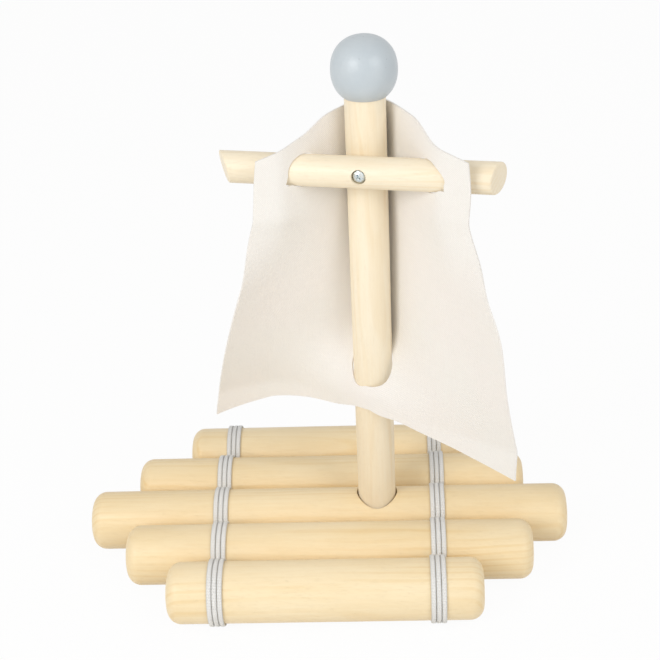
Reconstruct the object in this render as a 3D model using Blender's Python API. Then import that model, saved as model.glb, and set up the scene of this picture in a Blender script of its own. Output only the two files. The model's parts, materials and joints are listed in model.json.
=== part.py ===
"""Toy raft boat: five lashed logs, a turning mast with a ball top, a cross yard and a cloth sail.

Metres, +Z up. The raft stands on its lashings at z = 0 and is centred on the origin.
The logs run along X, and the mast stands in the middle log.
"""

from math import asin, atan2, cos, pi, radians, sin, sqrt, tan

import bmesh
import bpy
import numpy as np
from mathutils import Matrix, Vector
from mathutils.geometry import delaunay_2d_cdt

MM = 0.001

# ---- driving dimensions -------------------------------------------------------------------

LOG_RADIUS = 14.0 * MM
LOG_GAP = 2.6 * MM
LOG_END_ROUND = 6.3 * MM
# name, length, and how far the log's middle sits from the raft's middle along X; back to front
LOGS = (
    ("log_back", 146.5 * MM, 0.0 * MM),
    ("log_mid_back", 193.5 * MM, 0.5 * MM),
    ("log_keel", 231.0 * MM, 0.0 * MM),
    ("log_mid_front", 190.5 * MM, 1.2 * MM),
    ("log_front", 143.0 * MM, 0.2 * MM),
)
KEEL = 2

CORD_WIDTH = 2.26 * MM
CORD_THICKNESS = 1.15 * MM
CORD_SEAT = 0.2 * MM
CORD_LANE_PLAY = 0.14 * MM
CORD_TURNS = 3
# name of the lashing, and where it lies on each log along X, back to front
LASHINGS = (
    ("lashing_left", (-50.7 * MM, -52.6 * MM, -51.6 * MM, -49.8 * MM, -48.6 * MM)),
    ("lashing_right", (53.6 * MM, 53.9 * MM, 53.1 * MM, 52.4 * MM, 51.2 * MM)),
)
KNOT_LENGTH = 9.0 * MM
KNOT_RADIUS = 2.1 * MM
KNOT_ANGLE = 0.62

MAST_X = 24.1 * MM
MAST_RADIUS = 9.0 * MM
SOCKET_DEPTH = 20.0 * MM
SOCKET_PLAY = 0.8 * MM
MAST_YAW = radians(-12.4)

BALL_RADIUS = 14.4 * MM
BALL_HALF_HEIGHT = 14.7 * MM
BALL_FULLNESS = 2.2
BALL_BORE_DEPTH = 17.0 * MM
BALL_ABOVE_LOG_AXIS = 223.4 * MM

YARD_RADIUS = 7.0 * MM
YARD_HALF_LENGTH = 60.1 * MM
YARD_BELOW_BALL = 40.4 * MM
YARD_CUT_LEFT = (0.54, 0.20)
YARD_CUT_RIGHT = (0.36, 0.06)
YARD_END_ROUND = 0.8 * MM

SCREW_SHANK_RADIUS = 1.7 * MM
SCREW_HEAD_RADIUS = 2.85 * MM
SCREW_HEAD_HEIGHT = 1.8 * MM
SCREW_IN_MAST = 10.0 * MM
SCREW_SHIFT = 1.5 * MM
SCREW_CROSS_WIDTH = 0.8 * MM
SCREW_CROSS_LENGTH = 3.2 * MM
SCREW_CROSS_DEPTH = 1.0 * MM
RECESS_DEPTH = 3.0 * MM
RECESS_PLAY = 0.35 * MM

SAIL_THICKNESS = 0.9 * MM
SAIL_HALF_FOOT = 81.0 * MM
SAIL_STRAP_WIDTH = 16.3 * MM
SAIL_OVER_YARD = 2.0 * MM
SAIL_CROWN_RISE = 24.6 * MM
SAIL_CROWN_HALF = 28.0 * MM
SAIL_CROWN_FALL = 2.7 * MM
SAIL_CROWN_SHIFT = 2.5 * MM
SAIL_FOOT_DROP = 3.7 * MM
SAIL_FOOT_RISE = 8.5 * MM
SAIL_FOOT_DIP = 6.0 * MM
SAIL_FOOT_ABOVE_LOG_AXIS = 54.3 * MM
# how the cloth is bent: slopes of its cross-sections at the yard and at its foot
SAIL_BEND_HEAD = radians(51.3)
SAIL_BEND_FOOT_LEFT = radians(58.0)
SAIL_BEND_FOOT_RIGHT = radians(25.9)
SAIL_STRAP_SHARE = 0.47
SAIL_STRAP_START = 2.4 * MM
SAIL_STRAP_TURN = 8.0 * MM
SAIL_LEAN_HEAD = radians(3.5)
SAIL_LEAN_FOOT = radians(-11.9)
SAIL_SLIDE = 3.2 * MM
SAIL_ROLL = 0.016
SAIL_FOOT_DEPTH_LEFT = 9.5 * MM
SAIL_FOOT_DEPTH_RIGHT = -11.5 * MM
SAIL_BEND_START = 9.0 * MM
SAIL_STRAIGHT_HEAD = 18.7 * MM
SAIL_MAST_TURN = 10.0 * MM
SAIL_CLEARANCE = 0.35 * MM
SAIL_GRID = 6.5 * MM
MAST_HOLE_ABOVE_FOOT = 28.7 * MM
MAST_HOLE_SHIFT = -1.0 * MM

YARD_TILT = radians(4.0)
GAP = 0.3 * MM

# ---- derived places -----------------------------------------------------------------------

PITCH = 2 * LOG_RADIUS + LOG_GAP
CORD_LANE = CORD_WIDTH + CORD_LANE_PLAY
AXIS_Z = LOG_RADIUS + CORD_SEAT + CORD_THICKNESS
MAST_BOTTOM = AXIS_Z + LOG_RADIUS - SOCKET_DEPTH + GAP
BALL_Z = AXIS_Z + BALL_ABOVE_LOG_AXIS
BORE_TOP = BALL_Z - BALL_HALF_HEIGHT + BALL_BORE_DEPTH
MAST_TOP = BORE_TOP - GAP
YARD_Z = BALL_Z - YARD_BELOW_BALL
YARD_DEPTH = MAST_RADIUS + GAP + YARD_RADIUS
RECESS_RADIUS = SCREW_HEAD_RADIUS + RECESS_PLAY
SHANK_HOLE_RADIUS = SCREW_SHANK_RADIUS + GAP

# flat cloth, measured up from its foot and out from its middle
SAIL_TO_YARD = YARD_Z - AXIS_Z - SAIL_FOOT_ABOVE_LOG_AXIS
SAIL_BEND_REACH = SAIL_TO_YARD - SAIL_STRAIGHT_HEAD
SAIL_SHOULDER_RISE = YARD_RADIUS + SAIL_OVER_YARD
SAIL_BEHIND_MAST = MAST_RADIUS + 1.3 * MM + SAIL_THICKNESS / 2
STRAP_FROM_MIDDLE = (SAIL_BEHIND_MAST + YARD_DEPTH + YARD_RADIUS) / sin(SAIL_BEND_HEAD) + SAIL_STRAP_START
SAIL_HALF_HEAD = STRAP_FROM_MIDDLE + SAIL_STRAP_WIDTH
MAST_STEP = 1.86 * SAIL_BEHIND_MAST
SAIL_TENT_WIDTH = 2.05 * SAIL_BEHIND_MAST
MAST_HOLE_HALF_WIDTH = 1.29 * MAST_RADIUS
MAST_HOLE_HALF_LENGTH = 1.6 * SAIL_BEHIND_MAST

WOOD = (0.86, 0.68, 0.43)
CORD_WHITE = (0.86, 0.85, 0.82)
CLOTH = (0.86, 0.80, 0.75)
BALL_PAINT = (0.58, 0.64, 0.68)
ZINC = (0.72, 0.74, 0.74)


def log_y(index):
    """Y of a log's axis; the first log is the one at the back."""
    return ((len(LOGS) - 1) / 2 - index) * PITCH


def smooth_step(x):
    """0 below 0, 1 above 1, and a smooth rise between; for numbers and arrays."""
    x = np.clip(x, 0.0, 1.0)
    return x * x * (3 - 2 * x)


# ---- objects and materials ----------------------------------------------------------------

def clear_scene():
    for obj in list(bpy.data.objects):
        bpy.data.objects.remove(obj, do_unlink=True)


def material(name, colour, roughness, metallic=0.0):
    mat = bpy.data.materials.new(name)
    mat.use_nodes = True
    shader = mat.node_tree.nodes["Principled BSDF"]
    shader.inputs["Base Color"].default_value = (*colour, 1.0)
    shader.inputs["Roughness"].default_value = roughness
    shader.inputs["Metallic"].default_value = metallic
    return mat


def make_object(name, bm, mat, parent=None, smooth_angle=40.0):
    bmesh.ops.recalc_face_normals(bm, faces=bm.faces)
    mesh = bpy.data.meshes.new(name)
    bm.to_mesh(mesh)
    bm.free()
    mesh.shade_smooth()
    mesh.set_sharp_from_angle(angle=radians(smooth_angle))
    mesh.materials.append(mat)
    obj = bpy.data.objects.new(name, mesh)
    bpy.context.scene.collection.objects.link(obj)
    obj.parent = parent
    return obj


def empty(name, location, yaw=0.0, parent=None):
    obj = bpy.data.objects.new(name, None)
    obj.location = location
    obj.rotation_euler = (0.0, 0.0, yaw)
    obj.parent = parent
    bpy.context.scene.collection.objects.link(obj)
    return obj


def turned(profile, segments):
    """A closed solid turned about Z from a profile of (radius, z) that starts and ends on the axis."""
    bm = bmesh.new()
    rings = []
    for radius, z in profile:
        if radius < 1e-9:
            rings.append([bm.verts.new((0.0, 0.0, z))])
            continue
        angles = [2 * pi * k / segments for k in range(segments)]
        rings.append([bm.verts.new((radius * cos(a), radius * sin(a), z)) for a in angles])
    for lower, upper in zip(rings, rings[1:]):
        for k in range(segments):
            j = (k + 1) % segments
            if len(lower) == 1:
                bm.faces.new((lower[0], upper[j], upper[k]))
            elif len(upper) == 1:
                bm.faces.new((lower[k], lower[j], upper[0]))
            else:
                bm.faces.new((lower[k], lower[j], upper[j], upper[k]))
    return bm


def cutter(name, bm, parent=None):
    obj = make_object(name, bm, material(name, (0.5, 0.5, 0.5), 0.5), parent)
    obj.hide_render = True
    obj.display_type = "WIRE"
    return obj


def cut(obj, tool):
    mod = obj.modifiers.new("cut_" + tool.name, "BOOLEAN")
    mod.operation = "DIFFERENCE"
    mod.solver = "EXACT"
    mod.object = tool


def rod_profile(length, radius, rounding, steps):
    """Half outline of a round bar with rounded end edges, from z = 0 up to its length."""
    low = []
    for k in range(steps + 1):
        a = pi / 2 * k / steps
        low.append((radius - rounding * (1 - sin(a)), rounding * (1 - cos(a))))
    high = [(r, length - z) for r, z in reversed(low)]
    return [(0.0, 0.0), *low, *high, (0.0, length)]


# ---- raft ---------------------------------------------------------------------------------

def build_logs(mat):
    logs = []
    for index, (name, length, shift) in enumerate(LOGS):
        bm = turned(rod_profile(length, LOG_RADIUS, LOG_END_ROUND, 5), 28)
        bmesh.ops.translate(bm, verts=bm.verts, vec=(0.0, 0.0, -length / 2))
        bmesh.ops.rotate(bm, verts=bm.verts, matrix=Matrix.Rotation(pi / 2, 3, "Y"))
        obj = make_object(name, bm, mat)
        obj.location = (shift, log_y(index), AXIS_Z)
        logs.append(obj)
    socket_radius = MAST_RADIUS + SOCKET_PLAY
    over = LOG_RADIUS
    bm = turned([(0.0, 0.0), (socket_radius, 0.0), (socket_radius, SOCKET_DEPTH + over),
                 (0.0, SOCKET_DEPTH + over)], 36)
    tool = cutter("socket_cutter", bm)
    tool.location = (MAST_X, 0.0, AXIS_Z + LOG_RADIUS - SOCKET_DEPTH)
    cut(logs[KEEL], tool)
    return logs


def cord_route(places):
    """The lashing cord's middle line: (x, y, z, half width) at each point.

    One cord is wound three times as a figure of eight: over the back log, under the next and so
    on to the front log, round it, and back the other way. Each turn lies one lane further along X.
    """
    hug = LOG_RADIUS + CORD_SEAT + CORD_THICKNESS / 2
    enter = asin(6.0 * MM / hug)
    squeezed = CORD_LANE / 4 - 0.06 * MM
    front = len(LOGS) - 1
    points = []

    def arc(index, a0, a1, lane0, lane1, segments):
        """Round a log; angle 0 is towards +Y, and a quarter turn is straight up."""
        for k in range(segments + 1):
            a = a0 + (a1 - a0) * k / segments
            lane = lane0 + (lane1 - lane0) * float(smooth_step((a + 2.1) / 2.1))
            y = log_y(index) + hug * cos(a)
            points.append((places[index] + lane, y, AXIS_Z + hug * sin(a), CORD_WIDTH / 2))

    def through_gap(index_from, index_to, lane, falling):
        """Between two logs, squeezed beside the strand that goes the other way."""
        middle = (log_y(index_from) + log_y(index_to)) / 2
        outward = index_to > index_from
        towards = 1 if outward else -1
        x = (places[index_from] + places[index_to]) / 2 + lane
        x += -CORD_LANE / 4 if outward else CORD_LANE / 4
        for h, side in ((3.0 * MM, towards), (1.0 * MM, 0), (-1.0 * MM, 0), (-3.0 * MM, -towards)):
            free = LOG_GAP / 2 + LOG_RADIUS - sqrt(LOG_RADIUS ** 2 - h ** 2)
            y = middle + side * (free - CORD_SEAT - CORD_THICKNESS / 2)
            points.append((x, y, AXIS_Z + (h if falling else -h), squeezed))

    lanes = [(k - (CORD_TURNS - 1) / 2) * CORD_LANE for k in range(CORD_TURNS)]
    for turn, lane in enumerate(lanes):
        if turn == 0:
            arc(0, KNOT_ANGLE - pi, pi - enter, lane - CORD_LANE, lane, 18)
        else:
            arc(0, enter - pi, pi - enter, lanes[turn - 1], lane, 19)
        for index in range(1, front):
            under = index % 2 == 1
            through_gap(index - 1, index, lane, falling=under)
            sign = -1 if under else 1
            arc(index, sign * enter, sign * (pi - enter), lane, lane, 8)
        through_gap(front - 1, front, lane, falling=False)
        arc(front, enter, 2 * pi - enter, lane, lane, 19)
        for index in range(front - 1, 0, -1):
            over = index % 2 == 1
            through_gap(index + 1, index, lane, falling=not over)
            sign = 1 if over else -1
            arc(index, sign * (pi - enter), sign * enter, lane, lane, 8)
        through_gap(1, 0, lane, falling=True)
    arc(0, enter - pi, KNOT_ANGLE - pi, lanes[-1], lanes[-1], 1)
    return points


def build_lashings(mat):
    """Flat braided cord swept along its route: its width lies along X."""
    for name, places in LASHINGS:
        route = cord_route(places)
        centres = [Vector(p[:3]) for p in route]
        bm = bmesh.new()
        rings = []
        for k, (centre, point) in enumerate(zip(centres, route)):
            along = centres[min(k + 1, len(centres) - 1)] - centres[max(k - 1, 0)]
            across = along.cross(Vector((1.0, 0.0, 0.0))).normalized() * CORD_THICKNESS / 2
            side = Vector((point[3], 0.0, 0.0))
            corners = (side + across, across - side, -side - across, side - across)
            rings.append([bm.verts.new(centre + c) for c in corners])
        for a, b in zip(rings, rings[1:]):
            for k in range(4):
                j = (k + 1) % 4
                bm.faces.new((a[k], a[j], b[j], b[k]))
        bm.faces.new(reversed(rings[0]))
        bm.faces.new(rings[-1])
        make_object(name, bm, mat)

        # the knot lies in the valley under the back log, against the strands above it
        reach = LOG_RADIUS + CORD_SEAT + CORD_THICKNESS + GAP + KNOT_RADIUS
        steps = 8
        profile = [(0.0, -KNOT_LENGTH / 2)]
        for k in range(1, steps):
            a = pi * k / steps
            profile.append((KNOT_RADIUS * sin(a) ** 0.6, -KNOT_LENGTH / 2 * cos(a)))
        profile.append((0.0, KNOT_LENGTH / 2))
        bm = turned(profile, 14)
        bmesh.ops.rotate(bm, verts=bm.verts, matrix=Matrix.Rotation(pi / 2, 3, "Y"))
        knot = make_object(name.replace("lashing", "lashing_knot"), bm, mat)
        angle = KNOT_ANGLE - pi
        knot.location = (places[0] - CORD_LANE / 2, log_y(0) + reach * cos(angle), AXIS_Z + reach * sin(angle))


# ---- mast, ball, yard and screw -----------------------------------------------------------

def build_mast(mat, stand):
    """The mast stands in the socket; its object sits on the turning axis."""
    bm = turned(rod_profile(MAST_TOP - MAST_BOTTOM, MAST_RADIUS, 0.8 * MM, 2), 36)
    bmesh.ops.translate(bm, verts=bm.verts, vec=(0.0, 0.0, MAST_BOTTOM))
    mast = make_object("mast", bm, mat, stand)
    hole = SCREW_IN_MAST + GAP
    bm = turned([(0.0, 0.0), (SHANK_HOLE_RADIUS, 0.0), (SHANK_HOLE_RADIUS, hole + MAST_RADIUS),
                 (0.0, hole + MAST_RADIUS)], 16)
    tool = cutter("pilot_cutter", bm, stand)
    tool.rotation_euler = (pi / 2, 0.0, 0.0)
    tool.location = (SCREW_SHIFT, hole - MAST_RADIUS, YARD_Z)
    cut(mast, tool)


def build_ball(mat, stand):
    """A ball, a little fuller than a sphere, bored from below to take the mast."""
    bore = MAST_RADIUS + GAP
    steps = 22

    def radius_at(z):
        return BALL_RADIUS * max(0.0, 1 - abs(z / BALL_HALF_HEIGHT) ** BALL_FULLNESS) ** (1 / BALL_FULLNESS)

    rim_z = -BALL_HALF_HEIGHT * (1 - (bore / BALL_RADIUS) ** BALL_FULLNESS) ** (1 / BALL_FULLNESS)
    a0 = atan2(radius_at(rim_z), rim_z)
    outer = []
    for k in range(steps + 1):
        a = a0 * (1 - k / steps)
        z = BALL_HALF_HEIGHT * cos(a)
        outer.append((radius_at(z), z))
    outer[0] = (bore, rim_z)
    outer[-1] = (0.0, BALL_HALF_HEIGHT)
    top = BORE_TOP - BALL_Z
    bm = turned([(0.0, top), (bore, top), *outer], 36)
    ball = make_object("mast_ball", bm, mat, stand)
    ball.location = (0.0, 0.0, BALL_Z)


def build_yard(mat, hinge):
    """The yard lies across the front of the mast, with both ends sawn on the slant."""
    sides = 32
    ends = []
    for k in range(4):
        a = pi / 2 * k / 3
        ends.append((YARD_RADIUS - YARD_END_ROUND * (1 - sin(a)), YARD_END_ROUND * (1 - cos(a))))
    bm = bmesh.new()
    rings = []
    for end, (deeper, higher) in ((-1, YARD_CUT_LEFT), (1, YARD_CUT_RIGHT)):
        for radius, inset in (ends if end < 0 else reversed(ends)):
            ring = []
            for k in range(sides):
                a = 2 * pi * k / sides
                depth, up = radius * cos(a), radius * sin(a)
                longer = depth * deeper + up * higher
                x = end * (YARD_HALF_LENGTH + longer - inset)
                ring.append(bm.verts.new((x, depth, up)))
            rings.append(ring)
    for a, b in zip(rings, rings[1:]):
        for k in range(sides):
            j = (k + 1) % sides
            bm.faces.new((a[k], a[j], b[j], b[k]))
    bm.faces.new(reversed(rings[0]))
    bm.faces.new(rings[-1])
    yard = make_object("yard", bm, mat, hinge)
    yard.location = (-SCREW_SHIFT, -YARD_DEPTH, 0.0)

    floor = YARD_RADIUS - RECESS_DEPTH
    profile = [(0.0, -2 * YARD_RADIUS), (SHANK_HOLE_RADIUS, -2 * YARD_RADIUS), (SHANK_HOLE_RADIUS, floor),
               (RECESS_RADIUS, floor), (RECESS_RADIUS, 2 * YARD_RADIUS), (0.0, 2 * YARD_RADIUS)]
    tool = cutter("recess_cutter", turned(profile, 28), hinge)
    tool.rotation_euler = (pi / 2, 0.0, 0.0)
    tool.location = (0.0, -YARD_DEPTH, 0.0)
    cut(yard, tool)


def build_screw(mat, hinge):
    """A pan-head wood screw through the yard into the mast, its head sunk in the recess."""
    seat = YARD_DEPTH + YARD_RADIUS - RECESS_DEPTH + GAP
    shank = seat - MAST_RADIUS + SCREW_IN_MAST
    profile = [(0.0, -shank), (0.4 * SCREW_SHANK_RADIUS, -shank), (SCREW_SHANK_RADIUS, -shank + 2.0 * MM),
               (SCREW_SHANK_RADIUS, 0.0), (SCREW_HEAD_RADIUS, 0.0),
               (SCREW_HEAD_RADIUS, 0.45 * SCREW_HEAD_HEIGHT),
               (0.82 * SCREW_HEAD_RADIUS, 0.85 * SCREW_HEAD_HEIGHT),
               (0.45 * SCREW_HEAD_RADIUS, SCREW_HEAD_HEIGHT), (0.0, SCREW_HEAD_HEIGHT)]
    screw = make_object("yard_screw", turned(profile, 24), mat, hinge)
    screw.rotation_euler = (pi / 2, 0.0, 0.0)
    screw.location = (0.0, -seat, 0.0)
    for index, (long_side, wide_side) in enumerate(((1, 0), (0, 1))):
        bm = bmesh.new()
        bmesh.ops.create_cube(bm, size=1.0)
        size_x = SCREW_CROSS_LENGTH if long_side else SCREW_CROSS_WIDTH
        size_y = SCREW_CROSS_LENGTH if wide_side else SCREW_CROSS_WIDTH
        bmesh.ops.scale(bm, verts=bm.verts, vec=(size_x, size_y, 2 * SCREW_CROSS_DEPTH))
        tool = cutter("cross_cutter_%d" % index, bm, hinge)
        tool.rotation_euler = (pi / 2, 0.0, 0.0)
        tool.location = (0.0, -seat - SCREW_HEAD_HEIGHT, 0.0)
        cut(screw, tool)


# ---- sail ---------------------------------------------------------------------------------
# s runs across the flat cloth from its middle, and t up it from its foot.

def sail_angle(s, t):
    """Slope of the cloth's cross-section at (s, t), seen from above; 0 lies along the yard."""
    a = np.abs(s)
    high = np.clip((t - SAIL_BEND_START) / (SAIL_BEND_REACH - SAIL_BEND_START), 0.0, 1.0)
    strap = smooth_step((a - STRAP_FROM_MIDDLE) / SAIL_STRAP_TURN) * smooth_step(3 * high - 2)
    shape = smooth_step(a / SAIL_MAST_TURN) * (1 - (1 - SAIL_STRAP_SHARE) * strap)
    foot = np.where(s < 0, SAIL_BEND_FOOT_LEFT, SAIL_BEND_FOOT_RIGHT)
    bend = SAIL_BEND_HEAD * high * shape + foot * (1 - high) * a / SAIL_HALF_FOOT
    lean = SAIL_LEAN_FOOT + (SAIL_LEAN_HEAD - SAIL_LEAN_FOOT) * np.clip(t / SAIL_BEND_REACH, -0.1, 1.0)
    return lean - np.sign(s) * bend


def sail_section(s, t, steps=40):
    """Where the cloth point (s, t) lies across the mast (u) and behind it (v)."""
    s = s + SAIL_SLIDE * np.sin(0.8 * pi * np.clip(t / SAIL_TO_YARD, 0.0, 1.0))
    part = (np.arange(steps) + 0.5) / steps
    angle = sail_angle(s[..., None] * part, t[..., None])
    u = np.cos(angle).mean(-1) * s
    v = np.sin(angle).mean(-1) * s
    step = smooth_step((t - MAST_HOLE_ABOVE_FOOT + MAST_STEP) / (2 * MAST_STEP))
    near = SAIL_BEHIND_MAST * (2 * step - 1)
    foot = np.where(s < 0, SAIL_FOOT_DEPTH_LEFT, SAIL_FOOT_DEPTH_RIGHT)
    far = foot + (SAIL_BEHIND_MAST - foot) * smooth_step(t / SAIL_BEND_REACH)
    return u, v + far + (near - far) * np.exp(-(s / SAIL_TENT_WIDTH) ** 2)


def sail_points(s, t, steps=36):
    """Cloth points in the mast's frame: the cloth keeps its length as it leans in or out."""
    part = (np.arange(steps) + 0.5) / steps
    way = SAIL_TO_YARD + (t[..., None] - SAIL_TO_YARD) * part
    across = np.broadcast_to(s[..., None], way.shape)
    e = 0.25 * MM
    u1, v1 = sail_section(across, way + e)
    u0, v0 = sail_section(across, way - e)
    upright = 1 - ((u1 - u0) / (2 * e)) ** 2 - ((v1 - v0) / (2 * e)) ** 2
    rise = np.sqrt(np.clip(upright, 0.05, 1.0)).mean(-1) * (t - SAIL_TO_YARD)
    u, v = sail_section(s, t)
    return np.stack([u, v, YARD_Z + SAIL_ROLL * s + rise], -1)


def sail_half_width(t):
    height = SAIL_TO_YARD + SAIL_SHOULDER_RISE + SAIL_FOOT_DROP
    share = np.clip((t + SAIL_FOOT_DROP) / height, 0.0, 1.0)
    return SAIL_HALF_FOOT + (SAIL_HALF_HEAD - SAIL_HALF_FOOT) * share


def sail_head(s):
    """Upper edge of the flat cloth: a rounded crown between two shoulders."""
    a = np.abs(s - SAIL_CROWN_SHIFT)
    crown = SAIL_CROWN_RISE - SAIL_CROWN_FALL * (a / SAIL_CROWN_HALF) ** 2
    shoulder = SAIL_SHOULDER_RISE + 0.29 * (SAIL_HALF_HEAD - np.abs(s))
    share = smooth_step((a - SAIL_CROWN_HALF + 2 * MM) / (16 * MM))
    return SAIL_TO_YARD + crown * (1 - share) + shoulder * share


def sail_foot(s):
    """Lower edge of the flat cloth: one shallow arch that ends in pointed corners."""
    a = np.clip(np.abs(s) / SAIL_HALF_FOOT, 0.0, 1.0)
    dip = SAIL_FOOT_DIP * np.exp(-((s - 1.5 * MM) / (10 * MM)) ** 2)
    return SAIL_FOOT_RISE * (1 - a) ** 2 - SAIL_FOOT_DROP * a ** 4 - dip


def yard_hole():
    """Middle, half width and half height of the yard's holes in the flat cloth.

    They span the stretch where the cloth passes the yard from behind to before it.
    """
    s = np.linspace(0.0, SAIL_HALF_HEAD, 600)
    t = np.full_like(s, SAIL_TO_YARD)
    clear = SAIL_THICKNESS / 2 + SAIL_CLEARANCE
    inner, outer = SAIL_HALF_HEAD, 0.0
    for side in (-1, 1):
        depth = -sail_section(side * s, t)[1]
        inner = min(inner, s[depth < YARD_DEPTH - YARD_RADIUS - clear].max())
        outer = max(outer, s[depth < YARD_DEPTH + YARD_RADIUS + clear].max())
    reach = outer * cos(SAIL_BEND_HEAD) + abs(SCREW_SHIFT)
    half_height = YARD_RADIUS + reach * tan(YARD_TILT) + 4 * SAIL_CLEARANCE
    return (inner + outer) / 2, (outer - inner) / 2, half_height


def ring(centre_s, centre_t, half_s, half_t, count):
    angles = np.arange(count) * 2 * pi / count
    return np.stack([centre_s + half_s * np.cos(angles), centre_t + half_t * np.sin(angles)], -1)


def inside(points, loop):
    """Even-odd test of many points against one closed outline."""
    x, y = points[:, 0], points[:, 1]
    result = np.zeros(len(points), bool)
    for (x0, y0), (x1, y1) in zip(loop, np.roll(loop, -1, axis=0)):
        crosses = (y0 > y) != (y1 > y)
        if crosses.any():
            at = x0 + (y - y0) * (x1 - x0) / (y1 - y0 if y1 != y0 else 1.0)
            result ^= crosses & (x < at)
    return result


def sail_pattern(grid):
    """The flat cloth as triangles: its outline, its three holes and a grid between them."""
    edge = round(2 * SAIL_HALF_FOOT / grid)
    side = round((SAIL_TO_YARD + SAIL_SHOULDER_RISE) / grid)
    across = np.linspace(-1.0, 1.0, edge + 1)
    up = np.linspace(0.0, 1.0, side + 1)[1:-1]
    low, high = -SAIL_FOOT_DROP, SAIL_TO_YARD + SAIL_SHOULDER_RISE
    side_t = low + (high - low) * up
    foot = np.stack([across * SAIL_HALF_FOOT, sail_foot(across * SAIL_HALF_FOOT)], -1)
    right = np.stack([sail_half_width(side_t), side_t], -1)
    head = np.stack([across[::-1] * SAIL_HALF_HEAD, sail_head(across[::-1] * SAIL_HALF_HEAD)], -1)
    left = np.stack([-sail_half_width(side_t[::-1]), side_t[::-1]], -1)
    outline = np.concatenate([foot, right, head, left])
    middle, half_width, half_height = yard_hole()
    count = max(16, round(4 * pi * half_width / grid))
    holes = [
        ring(MAST_HOLE_SHIFT, MAST_HOLE_ABOVE_FOOT, MAST_HOLE_HALF_WIDTH, MAST_HOLE_HALF_LENGTH, count),
        ring(-middle, SAIL_TO_YARD, half_width, half_height, count),
        ring(middle, SAIL_TO_YARD, half_width, half_height, count),
    ]
    s, t = np.meshgrid(np.arange(-SAIL_HALF_FOOT, SAIL_HALF_FOOT, grid),
                       np.arange(low, SAIL_TO_YARD + SAIL_CROWN_RISE, grid))
    inner = np.stack([s.ravel(), t.ravel()], -1)
    keep = inside(inner, outline)
    rims = np.concatenate([outline, *holes])
    for loop in holes:
        keep &= ~inside(inner, loop)
    near = np.array([np.hypot(*(rims - p).T).min() for p in inner])
    inner = inner[keep & (near > 0.55 * grid)]

    points = np.concatenate([rims, inner])
    edges = []
    start = 0
    for loop in (outline, *holes):
        edges += [(start + k, start + (k + 1) % len(loop)) for k in range(len(loop))]
        start += len(loop)
    verts, _, faces, *_ = delaunay_2d_cdt([Vector(p) for p in points], edges, [], 0, 1e-7)
    flat = np.array([tuple(v) for v in verts])
    faces = np.array([tuple(f) for f in faces])
    middles = flat[faces].mean(axis=1)
    keep = inside(middles, outline)
    for loop in holes:
        keep &= ~inside(middles, loop)
    return flat, faces[keep]


def build_sail(mat, stand):
    """The cloth as one closed sheet, half its thickness to each side of its middle surface."""
    flat, faces = sail_pattern(SAIL_GRID)
    s, t = flat[:, 0], flat[:, 1]
    e = 0.2 * MM
    along_s = sail_points(s + e, t) - sail_points(s - e, t)
    along_t = sail_points(s, t + e) - sail_points(s, t - e)
    normal = np.cross(along_s, along_t)
    normal /= np.linalg.norm(normal, axis=1)[:, None]
    middle = sail_points(s, t)
    bm = bmesh.new()
    front = [bm.verts.new(p) for p in middle + normal * SAIL_THICKNESS / 2]
    back = [bm.verts.new(p) for p in middle - normal * SAIL_THICKNESS / 2]
    once = {}
    for a, b, c in faces.tolist():
        bm.faces.new((front[a], front[b], front[c]))
        bm.faces.new((back[c], back[b], back[a]))
        for edge in ((a, b), (b, c), (c, a)):
            if edge[::-1] in once:
                del once[edge[::-1]]
            else:
                once[edge] = True
    for a, b in once:
        bm.faces.new((front[b], front[a], back[a], back[b]))
    for v in [v for v in bm.verts if not v.link_faces]:
        bm.verts.remove(v)
    make_object("sail", bm, mat, stand)


# ---- assembly -----------------------------------------------------------------------------

def build():
    clear_scene()
    wood = material("wood", WOOD, 0.5)
    build_logs(wood)
    build_lashings(material("cord", CORD_WHITE, 0.8))
    stand = empty("mast_axis", (MAST_X, 0.0, 0.0), MAST_YAW)
    hinge = empty("yard_axis", (SCREW_SHIFT, 0.0, YARD_Z), 0.0, stand)
    build_mast(wood, stand)
    build_ball(material("ball_paint", BALL_PAINT, 0.4), stand)
    build_yard(wood, hinge)
    build_screw(material("zinc", ZINC, 0.3, 1.0), hinge)
    build_sail(material("cloth", CLOTH, 0.9), stand)


build()
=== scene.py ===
"""Looks of the toy raft boat: logs, braided lashings, mast with its ball, yard, screw and cloth sail."""

import json
from math import asin, atan2, cos, pi, radians, sin, sqrt

import bmesh
import bpy
import numpy as np
from mathutils import Matrix, Vector
from mathutils.geometry import delaunay_2d_cdt


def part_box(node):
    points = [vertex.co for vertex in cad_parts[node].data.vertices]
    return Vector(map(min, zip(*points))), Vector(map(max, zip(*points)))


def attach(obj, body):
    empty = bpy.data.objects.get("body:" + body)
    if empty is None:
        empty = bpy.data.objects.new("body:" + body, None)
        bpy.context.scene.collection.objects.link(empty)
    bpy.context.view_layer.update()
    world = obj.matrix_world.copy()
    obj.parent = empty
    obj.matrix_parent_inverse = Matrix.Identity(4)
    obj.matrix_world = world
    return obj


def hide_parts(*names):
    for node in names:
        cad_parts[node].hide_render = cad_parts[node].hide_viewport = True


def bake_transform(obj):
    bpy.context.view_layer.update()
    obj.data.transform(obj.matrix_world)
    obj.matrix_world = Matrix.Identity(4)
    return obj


MM = 0.001

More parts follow.
